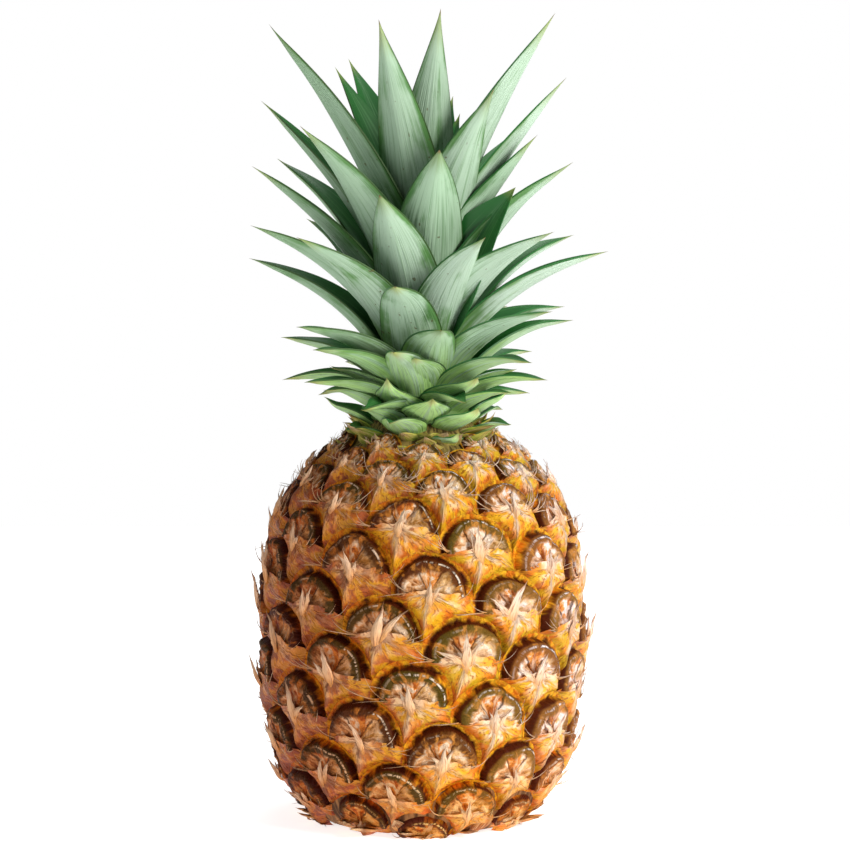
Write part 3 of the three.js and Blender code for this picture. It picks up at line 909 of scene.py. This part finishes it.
# Underside and seat of the crown
# The rind goes on under the fruit to the cut stalk, and over its shoulder to the foot of the crown.
# Both grew with the fruit and are smoother there, so each is turned from one outline.
TURNED_SIDES = 60


def turned_piece(name, outline, material):
    """A round piece turned from an outline of [radius, height] in millimetres, from pole to pole."""
    piece, columns, rows = grid_template(name, TURNED_SIDES, len(outline) - 1)
    radius, height = np.array(outline).T[:, rows] * MM
    turns = 2 * math.pi * columns / TURNED_SIDES
    set_points(piece, np.stack([radius * np.sin(turns), -radius * np.cos(turns), height], axis=-1))
    piece.data.materials.append(material)
    join_copies(name, [piece], BLADE_WELD)
    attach(piece, "root")
    return piece


def husk_paint(name, light, dark):
    """Dry fibrous skin in light and dark streaks that run out from the axis."""
    paint = Paint(name, 0.75, specular=0.2)
    around, share = paint.uv("place")
    streak = paint.grain(around, share, (110.0, 9.0), 3.0, 5.0)
    colour = paint.mix(paint.between(streak, 0.38, 0.62), dark, light)
    return paint.finish(colour, streak, 0.001)


BASE_OUTLINE = [(0, 15), (12.3, 14.5), (12.6, 4), (14, 2.2), (20, 1.2), (33, 0.5), (38, 1.3), (42, 4)]
BASE_OUTLINE += [(46, 9), (51, 20), (40, 24), (0, 26)]
base_husk = husk_paint("base_husk", (0.34, 0.15, 0.05), (0.07, 0.025, 0.008))
base_skin = turned_piece("fruit_base", BASE_OUTLINE, base_husk)
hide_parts("fruit")
SEAT_OUTLINE = [(0, 120), (40, 128), (37.5, 134.5), (32, 139.5), (26, 144), (20, 148.5), (18, 151.5)]
SEAT_OUTLINE += [(0, 151.8)]
seat_husk = husk_paint("seat_husk", (0.3, 0.22, 0.06), (0.06, 0.04, 0.01))
seat_skin = turned_piece("crown_seat", SEAT_OUTLINE, seat_husk)
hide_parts("collar")

# Cut stalk
# The woody end of the stalk that the fruit grew on, cut off flush with the base and dried.
STALK_OUTLINE = [(0, 0.3), (4, 0.2), (9, 0), (11.4, 0), (12, 0.6), (12, 13.8), (11.8, 14), (0, 14)]
cut_wood = husk_paint("cut_wood", (0.72, 0.58, 0.36), (0.4, 0.26, 0.12))
stalk = turned_piece("cut_stalk", STALK_OUTLINE, cut_wood)
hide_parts("stalk")

# Crown
# Tough green leaves in one golden-angle spiral on a short stem. Each is a channelled blade with a
# pale waxy bloom outside and a deep green inner face, and all grew with the stem as one piece.
CROWN_FOOT = 152.1 * MM
CROWN_LEAVES = 58
LEAF_TURN = 137.508
LEAF_PHASE = 194.8
LEAF_FOLD = 0.5
LEAF_BASE = 0.8
LEAF_THICKNESS = 1.3 * MM
# Values at equal steps from the lowest leaf to the innermost one, in millimetres
TIP_HEIGHT = [3, 18, 34, 57, 82, 108, 134, 146]
TIP_RADIUS = [40, 51, 60, 67, 66, 61, 50, 20]
ROOT_HEIGHT = [1.5, 5, 9, 16, 24, 33, 43, 54]
ROOT_RADIUS = [13, 13, 12, 11, 9, 7, 5, 2]
LEAF_WIDTH = [15, 17, 21, 25, 28, 28, 28, 26]
LEAF_BOW = [0.2, 0.2, 0.2, 0.2, 0.17, 0.14, 0.1, 0.04]
# Leaves whose points are listed one by one: azimuth in degrees, tip radius, tip height, and for some
# their own bow and the azimuth that they face
PLACED_LEAVES = {
    1: [-30, 42, 6],
    4: [22, 44, 10],
    9: [-12, 50, 29, 0.2],
    11: [-98, 53, 13],
    15: [107, 60, 36],
    16: [-110, 57, 27],
    17: [8, 52, 37, 0.2],
    19: [-50, 60, 37],
    20: [52, 61, 43],
    22: [-10, 55, 55, 0.18],
    23: [115, 60, 40],
    24: [-103, 67, 58],
    25: [23, 59, 73],
    27: [-42, 68, 71],
    28: [83, 70, 63],
    30: [-17, 53, 86, 0.16],
    31: [124, 70, 66],
    32: [-70, 67, 74],
    33: [46, 67, 73],
    35: [-84, 64, 94],
    36: [72, 58, 98],
    37: [-120, 63, 96],
    38: [7, 54, 103, 0.15],
    39: [145, 63, 105],
    40: [-44, 63, 112],
    41: [58, 40, 88, 0.08, 140],
    43: [68, 47, 106],
    44: [76, 56, 127],
    45: [-104, 63, 117],
    46: [27, 57, 126],
    48: [-148, 52, 133],
    49: [166, 50, 118],
    51: [14, 30, 153],
    52: [150, 30, 112],
    53: [-72, 58, 148],
    54: [57, 58, 152],
    55: [176, 22, 134],
    56: [-20, 45, 150],
    57: [95, 8, 124],
}
MISSING_LEAVES = [34]
LEAF_STEPS_ACROSS = 10
LEAF_STEPS_ALONG = 26


def along(values, share):
    """The value at a share of the way along a list of equally spaced values."""
    return float(np.interp(share, np.linspace(0, 1, len(values)), values))


def crown_leaf(k):
    """The shape of leaf number k of the crown, in metres."""
    share = k / (CROWN_LEAVES - 1)
    size = 1 + 0.06 * scatter(k, 4)
    azimuth, tip_radius, tip_height, *own = PLACED_LEAVES.get(k) or [
        LEAF_PHASE + k * LEAF_TURN + 5 * scatter(k, 3),
        along(TIP_RADIUS, share) * size,
        along(TIP_HEIGHT, share) * size,
    ]
    return {
        "azimuth": azimuth,
        "facing": own[1] if len(own) > 1 else azimuth,
        "root": (along(ROOT_RADIUS, share) * MM, along(ROOT_HEIGHT, share) * MM + CROWN_FOOT),
        "tip": (tip_radius * MM, tip_height * MM + CROWN_FOOT),
        "sway": 0,
        "bow": own[0] if own else along(LEAF_BOW, share),
        "width": along(LEAF_WIDTH, share) * MM,
        "base": LEAF_BASE,
        "fold": LEAF_FOLD,
        "fullness": 1.75 if own else 1.45,
        "slimness": 1.1 if own else 1.3,
        "thickness": LEAF_THICKNESS,
        "curl": 1.5 * scatter(k, 21) * MM,
        "twist": 0.6 * MM * scatter(k, 22),
    }


def upright_blade(blade, index, shape):
    """A blade whose root and tip are given as a turn from the front, a radius and a height."""
    turn = math.radians(shape["azimuth"])
    outward = np.array([math.sin(turn), -math.cos(turn), 0])
    facing = math.radians(shape.get("facing", shape["azimuth"]))
    sideways = np.array([math.cos(facing), math.sin(facing), 0])
    start = outward * shape["root"][0] + [0, 0, shape["root"][1]]
    end = outward * shape["tip"][0] + [0, 0, shape["tip"][1]] + sideways * shape["sway"]
    middle = (start + end) / 2 - np.cross(sideways, end - start) * shape["bow"]
    return blade.copy(index, start, middle, end, sideways, shape)


def leaf_outer_paint():
    """Green under a whitish bloom, in lengthwise stripes, yellow at root and point, with less bloom on
    the crown's left as painted shade.
    """
    paint = Paint("leaf_outer", 0.5, specular=0.25)
    across, share = paint.uv("along")
    first_draw, second_draw, seed = paint.draws()
    stripe = paint.grain(across, share, (20.0, 0.8), seed, 3.0)
    fine = paint.grain(across, share, (46.0, 3.0), seed, 2.0)
    cloud = paint.grain(across, share, (2.4, 4.5), seed, 5.0)
    # The fine lines fade towards the point, where the blade is too narrow for them
    broad = paint.between(share, 0.95, 0.6)
    green = paint.mix(second_draw, (0.08, 0.22, 0.06), (0.13, 0.29, 0.09))
    bloom = paint.mix(second_draw, (0.4, 0.58, 0.4), (0.51, 0.66, 0.53))
    cover = paint.plus(paint.times(cloud, 1.3), paint.times(stripe, 0.6))
    cover = paint.plus(cover, paint.times(paint.between(share, 0.1, 0.5), 0.25))
    # Painted shade: the bloom thins towards the crown's left, so the leaves there read darker
    painted_light_on_right = paint.step_along(X_AXIS, -0.065, 0.005)
    low = paint.step_along(Z_AXIS, 0.195, 0.165)
    aside = paint.maths("ABSOLUTE", paint.plus(across, -0.5))
    cover = paint.plus(cover, paint.times(paint.between(aside, 0.28, 0.5), -0.3))
    cover = paint.times(paint.between(cover, 0.76, 1.16), paint.plus(paint.times(painted_light_on_right, 0.6), 0.4))
    colour = paint.mix(cover, green, bloom)
    root = paint.between(paint.plus(share, paint.times(stripe, 0.15)), 0.34, 0.12)
    root = paint.maths("MAXIMUM", root, paint.times(low, paint.between(stripe, 0.75, 0.4)))
    root_green = paint.mix(low, (0.25, 0.45, 0.07), (0.5, 0.8, 0.24))
    colour = paint.mix(paint.times(root, 0.8), colour, root_green)
    lines = paint.times(paint.between(fine, 0.5, 0.66), broad)
    colour = paint.mix(paint.times(lines, 0.45), colour, green)
    dried = paint.times(low, paint.between(paint.plus(share, paint.times(stripe, 0.4)), 0.92, 1.2))
    colour = paint.mix(dried, colour, (0.42, 0.34, 0.12))
    point = paint.between(paint.plus(share, paint.times(stripe, 0.16)), 0.9, 1.07)
    point_green = paint.mix(first_draw, (0.12, 0.2, 0.05), (0.32, 0.36, 0.08))
    colour = paint.mix(paint.times(point, 0.8), colour, point_green)
    colour = paint.mix(paint.between(share, 0.965, 0.995), colour, (0.17, 0.1, 0.04))
    colour = paint.mix(paint.between(aside, 0.482, 0.492), colour, (0.05, 0.11, 0.03))
    speck = paint.grain(across, share, (14.0, 30.0), seed, 1.0)
    speck = paint.times(paint.between(speck, 0.73, 0.78), broad)
    colour = paint.mix(paint.times(speck, 0.7), colour, (0.12, 0.1, 0.03))
    return paint.finish(colour, paint.times(paint.plus(stripe, fine), broad), 0.0004)


def leaf_inner_paint():
    """The deep green inner face, smoother and without bloom."""
    paint = Paint("leaf_inner", 0.38)
    across, share = paint.uv("along")
    second_draw, seed = paint.draws()[1:]
    stripe = paint.grain(across, share, (22.0, 1.2), seed, 3.0)
    colour = paint.mix(second_draw, (0.012, 0.11, 0.015), (0.02, 0.15, 0.03))
    colour = paint.mix(paint.between(stripe, 0.5, 0.7), colour, (0.06, 0.22, 0.06))
    point = paint.between(share, 0.9, 1.0)
    colour = paint.mix(point, colour, (0.2, 0.26, 0.05))
    return paint.finish(colour)


leaf_outer = leaf_outer_paint()
leaf_inner = leaf_inner_paint()
leaf_blade = Blade("leaf", LEAF_STEPS_ACROSS, LEAF_STEPS_ALONG, leaf_outer, leaf_inner)
CROWN_PIECES = {
    "crown_low": range(0, 20),
    "crown_middle": range(20, 40),
    "crown_top": range(40, CROWN_LEAVES),
}
for name, members in CROWN_PIECES.items():
    grown = [k for k in members if k not in MISSING_LEAVES]
    blades = [upright_blade(leaf_blade, k, crown_leaf(k)) for k in grown]
    piece = join_copies(name, blades, BLADE_WELD)
    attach(piece, "root")
    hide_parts("crown")

# Short leaves at the foot of the crown
# Under the crown's long leaves stand rows of short broad ones, which close it towards the collar.
SHORT_LEAVES = 28
SHORT_LEAF_PHASE = 20
# The colour draws of the short leaves are counted from here, past those of the long ones
FIRST_SHORT_LEAF = 300


def short_leaf(k):
    """The shape of one short leaf, in metres, counted from the lowest."""
    share = k / (SHORT_LEAVES - 1)
    return {
        "azimuth": SHORT_LEAF_PHASE + k * LEAF_TURN + 6 * scatter(k, 91),
        "root": ((20 - 8 * share) * MM, CROWN_FOOT + (-9 + 18 * share) * MM),
        "tip": (
            (33 + 6 * share + 4 * scatter(k, 92)) * MM,
            CROWN_FOOT + (-2 + 27 * share + 3.5 * scatter(k, 93)) * MM,
        ),
        "sway": 3 * scatter(k, 94) * MM,
        "bow": 0.04 + 0.12 * scatter(k, 95),
        "width": (18 + 4 * share) * MM,
        "base": LEAF_BASE,
        "fold": 0.4,
        "fullness": 1.4 + 0.3 * scatter(k, 98),
        "slimness": 1.45,
        "thickness": 1.0 * MM,
        "curl": 2.5 * scatter(k, 96) * MM,
        "twist": 1.0 * scatter(k, 97) * MM,
    }


short_leaves = [
    upright_blade(leaf_blade, FIRST_SHORT_LEAF + k, short_leaf(k)) for k in range(SHORT_LEAVES)
]
crown_foot = join_copies("crown_foot", short_leaves, BLADE_WELD)
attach(crown_foot, "root")
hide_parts("crown")

# Stem of the crown
# The short green stem that all the leaves grew on. Only slips of it show between them.
STEM_OUTLINE = [(0, 0), (19, 0), (17.5, 4), (16, 8), (13, 22), (9, 38), (5, 58), (0, 64)]
stem_outline = [(radius, height + CROWN_FOOT / MM) for radius, height in STEM_OUTLINE]
stem = turned_piece("crown_stem", stem_outline, flat_material("stem", (0.1, 0.2, 0.04), 0.6))
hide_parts("crown")

# Collar
# Small scale leaves between the fruit and the crown, dried brown and yellow at their points. They
# grew on the fruit's shoulder in the same spiral as the crown's leaves.
COLLAR_SCALES = 44
COLLAR_PHASE = 40


def collar_scale(k):
    """The shape of one dry scale leaf, in metres, counted from the outermost."""
    share = k / (COLLAR_SCALES - 1)
    return {
        "azimuth": COLLAR_PHASE + k * LEAF_TURN + 8 * scatter(k, 41),
        "root": ((25 - 7 * share) * MM, (137.0 + 9 * share) * MM),
        "tip": (
            (29.5 - share + 5 * abs(scatter(k, 42)) ** 2) * MM,
            (145 + 8 * share + 2.5 * scatter(k, 43)) * MM,
        ),
        "sway": 4 * scatter(k, 44) * MM,
        "bow": 0.1 * scatter(k, 45),
        "width": 12 * MM,
        "base": LEAF_BASE,
        "fold": 0.4,
        "fullness": 1.0,
        "slimness": 1.7,
        "thickness": 0.8 * MM,
        "curl": 1.8 * scatter(k, 46) * MM,
        "twist": 1.0 * scatter(k, 47) * MM,
    }


COLLAR_GREEN = [(0.16, 0.26, 0.02), (0.3, 0.38, 0.04), (0.45, 0.42, 0.07), (0.5, 0.36, 0.1)]
COLLAR_GREEN += [(0.55, 0.38, 0.2)]
FOOT_BROWN = [(0.4, 0.12, 0.02), (0.6, 0.22, 0.03), (0.7, 0.3, 0.08), (0.25, 0.07, 0.015)]
FOOT_BROWN += [(0.8, 0.5, 0.25)]


def dry_leaf_paint(name, tones):
    """Five tones from root to point, each leaf dried to its own degree, with lengthwise fibres."""
    paint = Paint(name, 0.65, specular=0.25)
    across, share = paint.uv("along")
    second_draw, seed = paint.draws()[1:]
    stripe = paint.grain(across, share, (16.0, 1.5), seed, 4.0)
    cloud = paint.grain(across, share, (2.5, 3.0), seed, 4.0)
    wavy = paint.plus(paint.plus(share, paint.swing(cloud, 0.9)), paint.swing(second_draw, 0.5))
    colour = paint.ramp(wavy, list(zip((0.0, 0.35, 0.6, 0.85, 1.0), tones)))
    pale = paint.times(paint.between(stripe, 0.52, 0.68), 0.6)
    colour = paint.mix(pale, colour, (0.75, 0.55, 0.28))
    dark = paint.times(paint.between(stripe, 0.46, 0.3), 0.7)
    colour = paint.mix(dark, colour, (0.1, 0.05, 0.012))
    return paint.finish(colour, stripe, 0.0008)


scales = [upright_blade(leaf_blade, k, collar_scale(k)) for k in range(COLLAR_SCALES)]
collar = join_copies("collar_scales", scales, BLADE_WELD)
collar.data.materials[0] = dry_leaf_paint("dry_scale_outer", COLLAR_GREEN)
collar.data.materials[1] = dry_leaf_paint("dry_scale_inner", COLLAR_GREEN)
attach(collar, "root")
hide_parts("collar")

# Dry scales at the foot
# The lowest bracts of the fruit have no eyes of their own. They dried to thin brown scales, which
# lie pressed against the base.
FOOT_SCALES = 30


def foot_scale(k):
    """The shape of one dry scale at the foot of the fruit, in metres."""
    share = k / (FOOT_SCALES - 1)
    return {
        "azimuth": k * LEAF_TURN + 9 * scatter(k, 81),
        "root": ((34 + 6 * share) * MM, (0.9 + 1.2 * share) * MM),
        "tip": (
            (47 + 3 * share + 3 * scatter(k, 82)) * MM,
            (5 + 4 * share + 3.5 * scatter(k, 83)) * MM,
        ),
        "sway": 5 * scatter(k, 84) * MM,
        "bow": -0.14,
        "width": (8 + 3 * scatter(k, 85)) * MM,
        "base": LEAF_BASE,
        "fold": 0.2,
        "fullness": 1.4,
        "slimness": 1.3,
        "thickness": 0.7 * MM,
        "curl": -1.2 * abs(scatter(k, 86)) * MM,
        "twist": 1.0 * scatter(k, 87) * MM,
    }


foot_scales = [upright_blade(leaf_blade, k, foot_scale(k)) for k in range(FOOT_SCALES)]
bpy.data.objects.remove(leaf_blade.template)
foot = join_copies("foot_scales", foot_scales, BLADE_WELD)
foot.data.materials[0] = dry_leaf_paint("foot_scale_outer", FOOT_BROWN)
foot.data.materials[1] = dry_leaf_paint("foot_scale_inner", FOOT_BROWN)
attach(foot, "root")
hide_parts("fruit")
